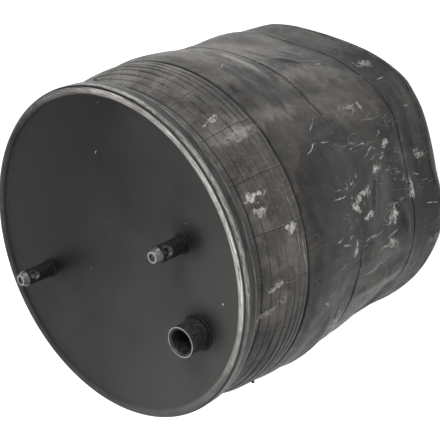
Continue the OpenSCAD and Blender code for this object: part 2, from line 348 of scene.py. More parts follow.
BROAD_MARKS = [
    (-30, 326, 22, 4, 125, 0.5), (-21.5, 322, 9, 3, 90, 0.7), (8, 324, 9, 3, 95, 0.9),
    (3, 323, 5, 6, 0, 0.8), (-5, 302, 7, 4.5, 90, 1.0), (27, 308, 20, 6, 88, 0.3),
    (35, 320, 9, 2.5, 90, 0.6), (-52, 227, 20, 4, 3, 0.6), (-24, 220, 9, 3, 160, 1.0),
    (-9, 213, 8, 3, 50, 1.0), (-6, 200, 13, 3, 112, 1.0), (-13.5, 195, 9, 3.5, 90, 1.0),
    (-0.5, 171, 7, 5, 90, 1.0), (6, 150, 7, 5, 70, 0.9), (2.5, 160, 6, 2, 100, 0.7),
    (-19, 155, 9, 6, 90, 1.0), (-29, 156, 9, 6, 60, 0.7), (-13, 121, 11, 5, 0, 1.0),
    (-3, 93, 10, 5, 80, 0.6), (21, 172, 9, 5, 85, 0.35), (20.5, 159, 5, 2, 0, 0.5),
    (37, 100, 14, 5, 88, 0.4), (-36, 75, 14, 6, 85, 0.35), (55, 232, 26, 6, 6, 0.2),
    (110, 240, 20, 5, 30, 0.5), (150, 180, 24, 6, 70, 0.5), (-100, 260, 18, 5, 60, 0.5),
    (-140, 150, 28, 6, 20, 0.5), (-170, 230, 20, 6, 90, 0.4), (-80, 110, 20, 5, 45, 0.5)]
WALL_R = 150


def from_mark(flat, centre, middle, half_length, half_width, tilt):
    """How far a point of the unrolled wall lies from a mark: 1 on the mark's edge."""
    local = add_node(flat.tree, "ShaderNodeMapping", {"vector_type": "TEXTURE"},
                     {"Vector": flat, "Location": (math.radians(centre) * WALL_R, middle, 0),
                      "Rotation": (0, 0, math.radians(tilt)), "Scale": (half_length, half_width, 1)})
    return add_node(flat.tree, "ShaderNodeVectorMath", {"operation": "LENGTH"}, {0: local}, 1)


def brushed(along, across, turn_degrees, seed):
    """Streaks that run one way over the unrolled wall."""
    cosine, sine = math.cos(math.radians(turn_degrees)), math.sin(math.radians(turn_degrees))
    lengthways = along * cosine + across * sine
    crossways = across * cosine - along * sine
    return ramp(noise(combine(lengthways * 0.06, crossways * 0.34, seed), 1.0, 2, 0.5, 0.8), 0.50, 0.62)


# %% Sleeve rubber
sleeve_rubber, tree, shader = new_finish("sleeve_rubber", 0.5, 0.2)
rest = attribute(tree, "rest")
x, y, z = (part * 1000 for part in split(rest))
angle = y.math("ARCTAN2", x)
around = angle * WALL_R

cloudy = noise(rest, 14, 4)
blotch = noise(rest, 38, 4, 0.6, 0.8)
mottle = noise(rest, 90, 5, 0.6)
grain = noise(rest, 900, 2)
colour = mix_colour(ramp(cloudy, 0.36, 0.64), grey(0.008, 0.02), grey(0.050, 0.08))
colour = mix_colour(ramp(blotch, 0.42, 0.66) * 0.5, colour, grey(0.075, 0.08))
colour = mix_colour(ramp(mottle, 0.50, 0.70) * 0.45, colour, grey(0.105, 0.08))
colour = mix_colour(ramp(blotch, 0.44, 0.30) * 0.6, colour, grey(0.006))
axial = noise(combine(around * 0.07, z * 0.012, 3.0), 1.0, 3, 0.55, 0.8)
colour = mix_colour(ramp(axial, 0.48, 0.68) * 0.3, colour, grey(0.10, 0.07))
# Darker towards the lobe at the bottom: painted shade.
colour = mix_colour(ramp(z, 150, 85) * 0.38, colour, grey(0.008, 0.0))
# Paler soft patches: a painted sheen, with some dust.
sheen_and_dust = attribute(tree, "sheen_and_dust", 2) * ramp(mottle, 0.30, 0.62, 0.55, 1.0)
colour = mix_colour(sheen_and_dust, colour, grey(0.19, 0.08))
stain = noise(rest, 260, 3, 0.6)
colour = mix_colour(ramp(stain, 0.40, 0.62, 0.22, 0.0), colour, grey(0.010, 0.03))

band = ramp(z, BAND_END - 1, BAND_END + 1) * ramp(z, 344, 340)
band_fleck = noise(rest, 420, 6, 0.75)
band_thread = noise(combine(around * 0.06, z * 0.8, 0.0), 1.0, 4, 0.65)
fleck = ramp(band_fleck, 0.45, 0.68) * 0.45 + ramp(band_thread, 0.45, 0.7) * 0.5
colour = mix_colour(band * 0.55, colour, grey(0.082, 0.07))
smear = noise(combine(around * 0.035, z * 0.03, 11.0), 1.0, 4, 0.6, 0.5)
colour = mix_colour(band * ramp(smear, 0.50, 0.36) * 0.6, colour, grey(0.018, 0.05))
colour = mix_colour(band * ramp(smear, 0.50, 0.66) * 0.55, colour, grey(0.18, 0.06))
colour = mix_colour(band * fleck * 0.45, colour, grey(0.21, 0.06))
worn_away = ramp(noise(combine(around * 0.025, z * 0.08, 0.0), 1.0, 3), 0.40, 0.6, 0.1, 1.0)
# Darker soft patches: painted shade, with some grime.
handled = attribute(tree, "handled", 2) * ramp(mottle, 0.62, 0.34, 0.7, 1.0)
colour = mix_colour(handled, colour, grey(0.006, -0.02))
from_middle = abs(angle * (180 / math.pi) + FADED_TURN)
first_width = ramp(from_middle, 14, 32, 0.0, 0.7)
# The mould's grooves and the band's edge are painted near black: painted shade in the grooves and under the
# steps.
groove_shade = ramp(abs(z - BAND_END) - first_width, 1.2, 0.5) * ramp(from_middle, 5, 25, 0.9, 1.0)
side_lines = ramp(from_middle, 14, 45, 0.25, 1.0)
broken_line = ramp(noise(combine(around * 0.045, z * 0.35, 5.0), 1.0, 3), 0.42, 0.56, 0.1, 1.0)
groove_shade = groove_shade.math("MAXIMUM", hump(z, BAND_END + 4.2, 0.9) * worn_away)
for height, half_width, depth in NECK_GROOVES:
    groove_shade = groove_shade.math("MAXIMUM", hump(z, height, half_width) * depth)
for height, half_width, depth in BAND_GROOVES:
    band_line = hump(z, height, half_width + 0.2) * side_lines * broken_line * depth
    groove_shade = groove_shade.math("MAXIMUM", band_line)
groove_shade = groove_shade.math("MAXIMUM", hump(z, SECOND_LINE, 1.3) * ramp(from_middle, 16, 30))
groove_shade = groove_shade.math("MAXIMUM", hump(z, THIRD_LINE, 1.3) * ramp(worn_away, 0.3, 0.8, 0.5, 1.0))
colour = mix_colour(groove_shade, colour, grey(0.002))
# Painted highlight: pale dotted lines along the lit edges beside the second line and the band's end.
painted_edge_highlight = hump(z, SECOND_LINE - 1.6, 0.6).math("MAXIMUM", hump(z, BAND_END + 2.7, 0.7))
dotted = ramp(noise(combine(around * 0.25, z * 0.2, 0.0), 1.0, 3), 0.52, 0.66)
colour = mix_colour(painted_edge_highlight * dotted * 0.6, colour, grey(0.3, 0.03))

wavy = (noise(rest, 26, 3) - 0.5) * 0.05
mould_step = (angle * (MOULD_PARTS / (2 * math.pi)) + MOULD_SHIFT + wavy).math("FRACT")
mould_line = hump(mould_step, 0.5, 0.016) * ramp(z, 286, 288)
colour = mix_colour(mould_line * 0.8, colour, grey(0.004))
line_edge = hump(mould_step, 0.516, 0.012) * ramp(z, 286, 288)
colour = mix_colour(line_edge * ramp(noise(rest, 60, 2), 0.5, 0.62) * 0.45, colour, grey(0.25, 0.05))

# %% Scuffs and scratches of the sleeve
ragged = noise(rest, 240, 5, 0.72)
bent_along = around + (noise(rest, 30, 3) - 0.5) * 16
bent_up = z + (noise(combine(z * 0.03, around * 0.03, 7.0), 1.0, 2) - 0.5) * 12
flat = combine(bent_along, bent_up, 0.0)
chalk = 0 * z
broken = ramp(noise(rest, 310, 3, 0.6), 0.40, 0.54, 0.3, 1.0)
for centre, middle, half_length, half_width, tilt, strength in THIN_MARKS:
    apart = from_mark(flat, centre, middle, half_length, half_width, tilt) + (ragged - 0.5) * 1.2
    chalk = chalk.math("MAXIMUM", ramp(apart, 0.25, 1.0, strength, 0.0) * broken)
loops = noise(rest, 100, 2, 0.5, 1.2)
scribble = ramp(abs(loops - 0.5), 0.055, 0.02)
curled = combine(bent_along + (noise(rest, 130, 3) - 0.5) * 18, bent_up + (ragged - 0.5) * 9, 0.0)
BRUSH_TURNS = (0, 45, 90, 135)
brushes = [brushed(around, z, turn_degrees, seed * 4.0) for seed, turn_degrees in enumerate(BRUSH_TURNS)]
for centre, middle, half_length, half_width, tilt, strength in BROAD_MARKS:
    apart = from_mark(curled, centre, middle, half_length, half_width, tilt) + (ragged - 0.5) * 1.8
    core = ramp(apart, 0.55, 0.1, 0.0, 0.7)
    brush = (brushes[round(tilt / 45) % 4] * 0.7).math("MAXIMUM", scribble).math("MAXIMUM", core)
    chalk = chalk.math("MAXIMUM", ramp(apart, 0.6, 1.15, strength, 0.0) * (brush * 0.9 + 0.07))
rubs = ramp(noise(rest, 52, 5, 0.7, 1.2), 0.62, 0.70) * ramp(cloudy, 0.45, 0.6) * brushes[2] * 0.28
hair = ramp(abs(noise(combine(around * 0.07, z * 0.022, 9.0), 1.0, 2, 0.5, 1.5) - 0.5), 0.010, 0.003)
hair_field = ramp(from_mark(flat, -3, 175, 75, 70, 0), 0.4, 1.1, 0.75, 0.15)
hair_field = hair_field * ramp(noise(rest, 40, 3), 0.47, 0.60)
chalk = chalk.math("MAXIMUM", rubs).math("MAXIMUM", hair * hair_field * broken)
colour = mix_colour(chalk, colour, grey(0.60, 0.03))
feed(shader.inputs["Base Color"], colour)
feed(shader.inputs["Specular IOR Level"], ramp(z, 170, 90, 0.19, 0.08))
feed(shader.inputs["Roughness"], ramp(mottle, 0.3, 0.7, 0.40, 0.58))
relief = grain * 0.12 + mottle * 0.5 + blotch * 0.6 - mould_line * 0.5
add_bump(shader, relief, 0.5)
print("sleeve rubber:", len(tree.nodes), "nodes")

# %% [markdown]
# ## The sleeve's section
#
# The sleeve is one tube of rubber, 6 mm thick, turned in on itself: a bead under the crimp, a neck
# that opens out, a long free wall, the round lobe, and a second wall that lies on the piston up to
# its own bead. Its section is drawn in script as a closed loop of points. It is cut at the lobe's
# lowest circle into two pieces.

# %% Sizes, in millimetres
def box_mm(node):
    low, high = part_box(node)
    return [value / MM for value in low], [value / MM for value in high]


sleeve_low, sleeve_high = box_mm("bellows_sleeve")
plate_high = box_mm("bead_plate")[1]
SLEEVE_R = sleeve_high[0]
WALL = 6.0
LOBE_Z = sleeve_low[2]
PLATE_R = plate_high[0]
PISTON_R = box_mm("piston_shell")[1][0]
PISTON_TOP = box_mm("piston_shell")[1][2]
BEAD_R = 6.0
SEAT_GAP = 0.3
inner_r = PISTON_R + SEAT_GAP
lobe_centre_r = (SLEEVE_R + inner_r) / 2
lobe_r = (SLEEVE_R - inner_r) / 2
lobe_centre_z = LOBE_Z + lobe_r
SHOULDER_R = 18.0
shoulder_r = PISTON_R - SHOULDER_R
shoulder_z = PISTON_TOP - SHOULDER_R
BEAD_INSET = 10
UPPER_BEAD = (134.8, 350.7)
lower_bead = (shoulder_r - BEAD_INSET, PISTON_TOP + SEAT_GAP + BEAD_R)
NECK_R = 138.5
NECK_TOP = 344.0
NECK_LENGTH = 62.0
print("lobe centre", round(lobe_centre_r, 2), round(lobe_centre_z, 2), "radius", round(lobe_r, 2))


# %% Lines and arcs of the section
def arc(centre, radius, start, end, step):
    """Points on an arc in the section, at most step millimetres apart; angles in degrees."""
    count = max(2, int(abs(math.radians(end - start)) * radius / step) + 1)
    turns = np.radians(np.linspace(start, end, count + 1))
    return np.stack([centre[0] + radius * np.cos(turns), centre[1] + radius * np.sin(turns)], 1)


def neck_radius(height):
    """The neck eases from the crimp out to the free sleeve."""
    share = np.clip((NECK_TOP - height) / NECK_LENGTH, 0, 1)
    return NECK_R + (SLEEVE_R - NECK_R) * share * share * (3 - 2 * share)


def wall_heights(fine):
    """Heights of the rows down the wall: close together where the mould's lines are."""
    heights = [NECK_TOP]
    while heights[-1] > lobe_centre_z + 1:
        height = heights[-1]
        near_line = min(abs(height - SECOND_LINE), abs(height - THIRD_LINE)) < 4
        step = 0.6 if height > BAND_END - 4 or near_line else 2.4
        heights.append(height - (step if fine else 6.0))
    return np.array(heights)


def wall(inset, fine):
    heights = wall_heights(fine)
    return np.stack([neck_radius(heights) - inset, heights], 1)


# %% The two closed loops
LOBE_STEP = 1.5
BEAD_STEP = 2.5
outer_skin = np.concatenate([
    arc(UPPER_BEAD, BEAD_R, 90, -52, BEAD_STEP),
    wall(0, True),
    arc((lobe_centre_r, lobe_centre_z), lobe_r, 0, -90, LOBE_STEP)])
outer_lining = np.concatenate([
    arc((lobe_centre_r, lobe_centre_z), lobe_r - WALL, -90, 0, 3),
    wall(WALL, False)[::-1],
    arc(UPPER_BEAD, BEAD_R, 247, 100, BEAD_STEP)])
inner_skin = np.concatenate([
    arc((lobe_centre_r, lobe_centre_z), lobe_r, -90, -180, LOBE_STEP),
    np.stack([np.full(12, inner_r), np.linspace(lobe_centre_z + 8, shoulder_z - 8, 12)], 1),
    arc((shoulder_r, shoulder_z), SHOULDER_R + SEAT_GAP, 0, 88, 3),
    arc(lower_bead, BEAD_R, -90, -270, BEAD_STEP)])
inner_lining = np.concatenate([
    arc(lower_bead, BEAD_R, 80, 0, BEAD_STEP)[:-2],
    arc((shoulder_r, shoulder_z), SHOULDER_R + SEAT_GAP + WALL, 88, 0, 3),
    np.stack([np.full(8, inner_r + WALL), np.linspace(shoulder_z - 8, lobe_centre_z + 8, 8)], 1),
    arc((lobe_centre_r, lobe_centre_z), lobe_r - WALL, -180, -90, 3)])
print("rows:", len(outer_skin), len(outer_lining), len(inner_skin), len(inner_lining))

# %% [markdown]
# ## Sweeping the section round
#
# Geometry Nodes turn each loop into a tube. A grid has one column for each step round the axis and
# one row for each point of the section. Each row looks up its point, and the column's angle turns
# it about the axis. The mould's grooves push the outer skin in along its normal, and broad soft
# dents push the whole wall in, because the rubber leaves the mould limp and is stored folded.

# %% Section as a mesh that the tree can sample
def section_mesh(name, skin, lining):
    """A line of points with their outward normals and how much detail and give each has."""
    points = np.concatenate([skin, lining])
    keep = [0]
    for place in range(1, len(points)):
        if np.hypot(*(points[place] - points[keep[-1]])) > 0.05:
            keep.append(place)
    detail = np.concatenate([np.ones(len(skin)), np.zeros(len(lining))])[keep]
    points = points[keep]
    along = np.roll(points, -1, 0) - np.roll(points, 1, 0)
    normals = np.stack([-along[:, 1], along[:, 0]], 1)
    normals /= np.hypot(normals[:, 0], normals[:, 1])[:, None]
    area = 0.5 * np.sum(points[:, 0] * np.roll(points[:, 1], -1) - np.roll(points[:, 0], -1) * points[:, 1])
    if area > 0:
        normals = -normals
    free = np.clip((points[:, 0] - lobe_centre_r) / (lobe_r - WALL * (1 - detail)), 0, 1)
    give = free * free * (3 - 2 * free)
    mesh = bpy.data.meshes.new(name)
    mesh.from_pydata([(r * MM, 0, z * MM) for r, z in points], [], [])
    for label, kind, values in (("out", "FLOAT_VECTOR", [(n[0], 0, n[1]) for n in normals]),
                                ("detail", "FLOAT", detail), ("give", "FLOAT", give)):
        layer = mesh.attributes.new(label, kind, "POINT")
        flat = np.asarray(values, dtype=float).ravel()
        layer.data.foreach_set("vector" if kind == "FLOAT_VECTOR" else "value", flat)
    return mesh


# %% Start a Geometry Nodes tree
def new_geometry_tree(name, sizes):
    """A Geometry Nodes tree with a geometry input and one named input for each size."""
    tree = bpy.data.node_groups.new(name, "GeometryNodeTree")
    tree.interface.new_socket("Geometry", in_out="INPUT", socket_type="NodeSocketGeometry")
    tree.interface.new_socket("Geometry", in_out="OUTPUT", socket_type="NodeSocketGeometry")
    for label, kind, value in sizes:
        socket = tree.interface.new_socket(label, in_out="INPUT", socket_type="NodeSocket" + kind)
        socket.default_value = value
    group_in = tree.nodes.new("NodeGroupInput")
    group_out = tree.nodes.new("NodeGroupOutput")
    wires = {socket.name: Wire(socket) for socket in group_in.outputs if socket.name}
    return tree, wires, group_out


def finish_tree(tree, group_out, geometry, material):
    """Smooths what a tree has made, makes it real, gives it its material and sends it out."""
    smooth = add_node(tree, "GeometryNodeSetShadeSmooth", None, {"Geometry": geometry})
    real = add_node(tree, "GeometryNodeRealizeInstances", None, {"Geometry": smooth})
    painted = add_node(tree, "GeometryNodeSetMaterial", None, {"Geometry": real, "Material": material})
    feed(group_out.inputs[0], painted)


def ellipse_group():
    """A group of nodes that measures where a point lies in a tilted ellipse on the wall."""
    group = bpy.data.node_groups.new("tilted_ellipse", "GeometryNodeTree")
    group.interface.new_socket("Inside", in_out="OUTPUT", socket_type="NodeSocketFloat")
    for label in ("Degrees", "Height", "Centre", "Middle", "Half length", "Half width", "Tilt"):
        group.interface.new_socket(label, in_out="INPUT", socket_type="NodeSocketFloat")
    spot = {socket.name: Wire(socket) for socket in group.nodes.new("NodeGroupInput").outputs if socket.name}
    turned = (spot["Degrees"] - spot["Centre"] + 540).math("MODULO", 360) - 180
    sideways = turned * math.radians(WALL_R)
    upward = spot["Height"] - spot["Middle"]
    cosine, sine = spot["Tilt"].math("COSINE"), spot["Tilt"].math("SINE")
    lengthways = (sideways * cosine + upward * sine) / spot["Half length"]
    crossways = (upward * cosine - sideways * sine) / spot["Half width"]
    feed(group.nodes.new("NodeGroupOutput").inputs[0], lengthways * lengthways + crossways * crossways)
    return group


TILTED_ELLIPSE = ellipse_group()


def inside_ellipse(degrees, height, centre, middle, half_length, half_width, tilt):
    """Below 1 inside a tilted ellipse on the wall, with its size in millimetres."""
    return add_node(degrees.tree, "GeometryNodeGroup", {"node_tree": TILTED_ELLIPSE}, {
        "Degrees": degrees, "Height": height, "Centre": centre, "Middle": middle,
        "Half length": half_length, "Half width": half_width, "Tilt": math.radians(tilt)})


# %% [markdown]
# ## Patches, dents, folds and creases
#
# Rubber that has been stored limp is never round. Soft patches make it darker or paler: painted
# shade and a painted sheen, mixed with some grime and dust. A patch has the same six numbers as a
# mark. A dent is as high as the wall, so it has only an angle, a half width in degrees and a depth.
# A fold adds a height and a half height before its depth. A crease is a tilted ellipse with a depth at its
# end.
#
# A material can hold only so many nodes. So the patches are worked out once for each point of the
# mesh, and the material reads the result as an attribute.

# %% Where they lie
# The dark patches are painted shade with some grime, and the light patches a painted sheen with some dust.
SHADE_AND_GRIME_PATCHES = [
    (-60, 318, 46, 26, 0, 0.7), (-68, 262, 30, 24, 0, 0.5), (-22, 262, 32, 20, 0, 0.7),
    (-2, 240, 42, 42, 0, 0.65), (-3, 190, 46, 28, 0, 0.75), (42, 248, 28, 13, 0, 0.75),
    (-6, 143, 42, 15, 0, 0.8), (-7, 193, 20, 7, 159, 0.8), (-26, 205, 20, 12, 0, 0.5),
    (-27, 135, 18, 20, 0, 0.7), (15, 112, 62, 20, 0, 0.5), (-20, 103, 42, 27, 0, 0.7),
    (50, 168, 13, 17, 60, 0.6), (52, 118, 38, 18, 0, 0.6), (-62, 100, 32, 32, 0, 0.6),
    (10, 165, 26, 26, 0, 0.5), (-110, 200, 70, 60, 20, 0.6), (150, 150, 80, 50, 0, 0.6),
    (-150, 255, 60, 24, 0, 0.5), (110, 130, 50, 30, 10, 0.5)]
SHEEN_AND_DUST_PATCHES = [
    (56, 232, 26, 9, 0, 0.9), (29, 262, 8, 26, 0, 0.6), (41, 190, 11, 36, 8, 0.6),
    (36, 168, 8, 36, 0, 0.4), (68, 196, 38, 32, 0, 0.5), (48, 275, 18, 9, 0, 0.3),
    (70, 262, 38, 13, 0, 0.45), (-55, 227, 24, 7, 4, 0.7), (-48, 175, 15, 40, 0, 0.35),
    (-43, 168, 3, 42, 3, 0.55), (24, 192, 16, 32, 0, 0.25), (68, 135, 30, 14, 0, 0.3),
    (-9, 168, 16, 9, 159, 0.45), (-30, 178, 10, 24, 0, 0.3), (60, 205, 30, 5, 176, 0.6),
    (12, 90, 40, 10, 0, 0.25), (62, 100, 30, 16, 0, 0.35), (-90, 250, 50, 20, 0, 0.5),
    (130, 240, 60, 24, 0, 0.5), (-140, 130, 50, 24, 0, 0.45), (175, 205, 50, 26, 20, 0.45)]
ROUND_STEPS = 320
DENTS = [(60, 38, 14.0), (30, 24, 2.0), (-8, 28, 6.5), (-118, 34, 8.0), (170, 34, 7.0), (124, 26, 6.0)]
FOLDS = [
    (0, 26, 68, 70, 6.5), (36, 26, 68, 70, 1.5), (-68, 30, 250, 50, -3.4), (-68, 26, 125, 55, 3.5),
    (62, 30, 205, 50, 0.8), (-58, 14, 140, 30, 3.0), (82, 16, 150, 40, -2.5), (-14, 16, 165, 34, 2.5),
    (-110, 30, 190, 60, 4.0), (150, 26, 210, 50, 4.0)]
CREASES = [
    (45, 158, 18, 3.5, 68, -1.5), (50, 178, 16, 3.5, 42, -1.5), (60, 188, 20, 4, 4, -1.3),
    (40, 185, 44, 14, 86, -1.0), (57, 232, 34, 9, 4, -1.3), (46, 246, 30, 12, 0, 1.0),
    (28, 200, 60, 14, 86, 0.8), (-54, 222, 30, 8, 14, -1.6), (-43, 168, 42, 8, 92, -1.8),
    (-36, 160, 40, 10, 92, 1.4), (-4, 270, 26, 12, 90, 0.8), (22, 268, 34, 12, 80, -0.8),
    (-8.5, 180, 19, 4, 159, -1.6), (-30, 196, 34, 5, 86, -1.0), (-20, 140, 26, 6, 20, -1.4),
    (-130, 220, 60, 14, 60, -2.2), (-160, 180, 50, 16, 110, 2.2), (110, 200, 50, 14, 70, -2.2),
    (140, 160, 50, 16, 120, 2.2), (-90, 180, 50, 14, 80, -2.0)]
BULGE = 3.0

# %% A grid with a row for each point of the section
sweep, size, sweep_out = new_geometry_tree("sweep_sleeve", [
    ("Steps round", "Int", ROUND_STEPS), ("Groove depth", "Float", 1.0), ("Dent depth", "Float", 1.0)])
section = size["Geometry"]
point_count = add_node(sweep, "GeometryNodeAttributeDomainSize", {"component": "MESH"}, {"Geometry": section})
columns = size["Steps round"] + 1
rows = point_count + 1
grid = add_node(sweep, "GeometryNodeMeshGrid", None, {"Vertices X": columns, "Vertices Y": rows})
index = add_node(sweep, "GeometryNodeInputIndex")
row = index.math("MODULO", rows).math("MODULO", point_count)
column = (index / rows).math("FLOOR").math("MODULO", size["Steps round"])
turn = column / size["Steps round"] * (2 * math.pi) - math.pi


def sample(value, kind):
    """The value of one point of the section, looked up by row."""
    node = sweep.nodes.new("GeometryNodeSampleIndex")
    node.data_type = kind
    feed(node.inputs["Geometry"], section)
    feed(node.inputs["Value"], value)
    feed(node.inputs["Index"], row)
    return Wire(node.outputs[0])


def section_value(name, kind="FLOAT"):
    named = add_node(sweep, "GeometryNodeInputNamedAttribute", {"data_type": kind}, {"Name": name})
    return sample(named, kind)


place = sample(add_node(sweep, "GeometryNodeInputPosition"), "FLOAT_VECTOR")
radius, _, height = (part * 1000 for part in split(place))
out_radial, _, out_up = split(section_value("out", "FLOAT_VECTOR"))
detail = section_value("detail")
give = section_value("give")

# %% [markdown]
# ## Grooves and dents
#
# The mould's grooves are a fraction of a millimetre deep, so they only push the skin. A dent moves
# skin and lining together, and it grows towards the lobe, where the wall is free.

# %% Grooves that the mould leaves
degrees = turn * (180 / math.pi)
ring_place = combine(turn.math("COSINE"), turn.math("SINE"), height * 0.02)
wander = (noise(ring_place, 3.0, 2) - 0.5) * 1.2
depth_change = ramp(noise(ring_place, 6.0, 3), 0.3, 0.6, 0.35, 1.0)
from_middle = abs(degrees + FADED_TURN)
side_lines = ramp(from_middle, 14, 50, 0.3, 1.0)
groove = hump(height, BAND_END, 1.5) * 1.6 * ramp(from_middle, 18, 45, 0.6, 1.0)
for line_height, half_width, depth in NECK_GROOVES:
    groove = groove.math("MAXIMUM", hump(height, line_height, half_width + 0.3) * depth)
for line_height, half_width, depth in BAND_GROOVES:
    groove = groove.math("MAXIMUM", hump(height + wander, line_height, half_width + 0.3) * side_lines * depth)
groove = groove.math("MAXIMUM", hump(height, SECOND_LINE, 1.3) * ramp(from_middle, 16, 32, 0.0, 0.9))
groove = groove.math("MAXIMUM", hump(height, THIRD_LINE, 1.3) * 0.9 * depth_change)
ridge = hump(height, BAND_END - 3.0, 2.0) * 0.25
ridge = ridge + hump(height, SECOND_LINE - 2.6, 2.0) * ramp(from_middle, 16, 32, 0.0, 0.35)
ripple = (noise(ring_place, 5.0, 3) - 0.5) * 0.8
push = (ridge + ripple - groove) * detail * size["Groove depth"]

# %% Dents in the free wall
growth = ramp(height, 262, 118)
dent = 0 * growth
for centre, half_width, depth in DENTS:
    apart = abs((degrees - centre + 540).math("MODULO", 360) - 180)
    dent = dent + ramp(apart, 0.0, half_width, 1.0, 0.0) * depth
slow = (noise(combine(turn.math("COSINE"), turn.math("SINE"), height * 0.006), 1.7, 2) - 0.5) * 5
for centre, half_width, middle, half_height, depth in FOLDS:
    apart = abs((degrees - centre + 540).math("MODULO", 360) - 180) / half_width
    above = (height - middle) / half_height
    dent = dent + ramp(apart * apart + above * above, 0.0, 1.0, depth, 0.0) / growth.math("MAXIMUM", 0.05)
crease = 0 * growth
for centre, middle, half_length, half_width, tilt, depth in CREASES:
    inside = inside_ellipse(degrees, height, centre, middle, half_length, half_width, tilt)
    crease = crease + ramp(inside, 0.0, 1.0, depth, 0.0)
drift = slow * ramp(height, 285, 220) - crease
neck_fullness = hump(height, 314, 30) * 2.8
neck_fullness = neck_fullness + ramp(height, BAND_END, BAND_END - 18) * ramp(height, 215, 262) * 2.4
soft_move = ((BULGE - dent) * growth + drift) * give * size["Dent depth"] + neck_fullness

# %% Soft patches of painted shade and painted sheen, with some grime and dust
drifted = degrees + (noise(ring_place, 4.0, 4, 0.6) - 0.5) * 22
raised = height + (noise(ring_place, 5.0, 4, 0.6, 0.5) - 0.5) * 40


def patch_mask(patches):
    mask = 0 * height
    for centre, middle, half_length, half_width, tilt, strength in patches:
        inside = inside_ellipse(drifted, raised, centre, middle, half_length, half_width, tilt)
        mask = mask.math("MAXIMUM", ramp(inside, 0.05, 1.7, strength, 0.0))
    return mask


# %% Put every point in its place
def round_axis(distance, level):
    """The point at this distance from the axis and at this level, both in millimetres."""
    return combine(distance * turn.math("COSINE") * MM, distance * turn.math("SINE") * MM, level * MM)


moved_radius = radius + push * out_radial + soft_move
moved_height = height + push * out_up
position = round_axis(moved_radius, moved_height)
swept = add_node(sweep, "GeometryNodeSetPosition", None, {"Geometry": grid, "Position": position})

# %% Store what the material reads, and finish the tree
rest_position = round_axis(radius, height)
MERGE_DISTANCE = 0.00002
swept = add_node(sweep, "GeometryNodeStoreNamedAttribute", {"data_type": "FLOAT_VECTOR"},
                 {"Geometry": swept, "Name": "rest", "Value": rest_position})
for name, patches in (("handled", SHADE_AND_GRIME_PATCHES), ("sheen_and_dust", SHEEN_AND_DUST_PATCHES)):
    swept = add_node(sweep, "GeometryNodeStoreNamedAttribute", {"data_type": "FLOAT"},
                     {"Geometry": swept, "Name": name, "Value": patch_mask(patches)})
swept = add_node(sweep, "GeometryNodeMergeByDistance", None, {"Geometry": swept, "Distance": MERGE_DISTANCE})
finish_tree(sweep, sweep_out, swept, sleeve_rubber)
print("sweep tree:", len(sweep.nodes), "nodes")


# %% Run a tree and keep its result as a plain mesh
def grow(name, base_mesh, tree, **values):
    """Runs a Geometry Nodes tree on a mesh and returns an object that holds only the result."""
    maker = bpy.data.objects.new(name + "_maker", base_mesh)
    bpy.context.scene.collection.objects.link(maker)
    modifier = maker.modifiers.new("nodes", "NODES")
    modifier.node_group = tree
    for item in tree.interface.items_tree:
        if item.item_type == "SOCKET" and item.in_out == "INPUT" and item.name.replace(" ", "_") in values:
            modifier[item.identifier] = values[item.name.replace(" ", "_")]
    bpy.context.view_layer.update()
    evaluated = maker.evaluated_get(bpy.context.evaluated_depsgraph_get())
    mesh = bpy.data.meshes.new_from_object(evaluated)
    mesh.name = name
    bpy.data.objects.remove(maker)
    piece = bpy.data.objects.new(name, mesh)
    bpy.context.scene.collection.objects.link(piece)
    mesh.calc_loop_triangles()
    print(name, len(mesh.loop_triangles), "triangles")
    return piece


outer_sleeve = grow("sleeve_outer_wall", section_mesh("outer_section", outer_skin, outer_lining), sweep)
inner_sleeve = grow("sleeve_inner_wall", section_mesh("inner_section", inner_skin, inner_lining), sweep)

# %% [markdown]
# ## Flash of the mould
#
# Where the two halves of the mould meet, a little rubber is squeezed out and torn off, which leaves
# a nib on either side of the band. Each nib is a short cone with a torn tip, and the tree lays it
# down so that it points outwards at its angle.

# %% Tree for a nib
nib, size, nib_out = new_geometry_tree("flash_nib", [
    ("Foot radius", "Float", 0.002), ("Length", "Float", 0.0036), ("Wall radius", "Float", 0.15),
    ("Height", "Float", 0.2875), ("Angle", "Float", 0.0), ("Torn edge", "Float", 0.0006)])
cone = add_node(nib, "GeometryNodeMeshCone", None, {
    "Vertices": 18, "Side Segments": 6, "Radius Top": size["Foot radius"] * 0.4,
    "Radius Bottom": size["Foot radius"], "Depth": size["Length"]})
spot = add_node(nib, "GeometryNodeInputPosition")
tear = add_node(nib, "ShaderNodeTexNoise", None, {"Vector": spot, "Scale": 900.0, "Detail": 2.0}, 1)
centred = add_node(nib, "ShaderNodeVectorMath", {"operation": "SUBTRACT"}, {0: tear, 1: (0.5, 0.5, 0.5)})
torn = add_node(nib, "ShaderNodeVectorMath", {"operation": "SCALE"},
                {0: centred, "Scale": size["Torn edge"] * 3})
cone = add_node(nib, "GeometryNodeSetPosition", None, {"Geometry": cone, "Offset": torn})
wall_spot = combine(size["Wall radius"] * size["Angle"].math("COSINE"),
                    size["Wall radius"] * size["Angle"].math("SINE"), size["Height"])
laid_down = combine(0.0, math.pi / 2, size["Angle"])
cone = add_node(nib, "GeometryNodeTransform", None,
                {"Geometry": cone, "Translation": wall_spot, "Rotation": laid_down})
cone = add_node(nib, "GeometryNodeStoreNamedAttribute", {"data_type": "FLOAT_VECTOR"},
                {"Geometry": cone, "Name": "rest", "Value": add_node(nib, "GeometryNodeInputPosition")})
finish_tree(nib, nib_out, cone, sleeve_rubber)

# %% One nib on either side
NIB_SINK = 1.4
NIBS = [("flash_nib_1", 82.5, 331.0, 2.6, 6.4), ("flash_nib_2", -74.5, BAND_END, 2.3, 3.8)]
for name, nib_angle, nib_height, foot_radius, length in NIBS:
    piece = grow(name, bpy.data.meshes.new(name + "_base"), nib, Angle=math.radians(nib_angle),
                 Foot_radius=foot_radius * MM, Length=length * MM, Height=nib_height * MM,
                 Wall_radius=(neck_radius(nib_height) - NIB_SINK) * MM)
    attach(piece, "plate")
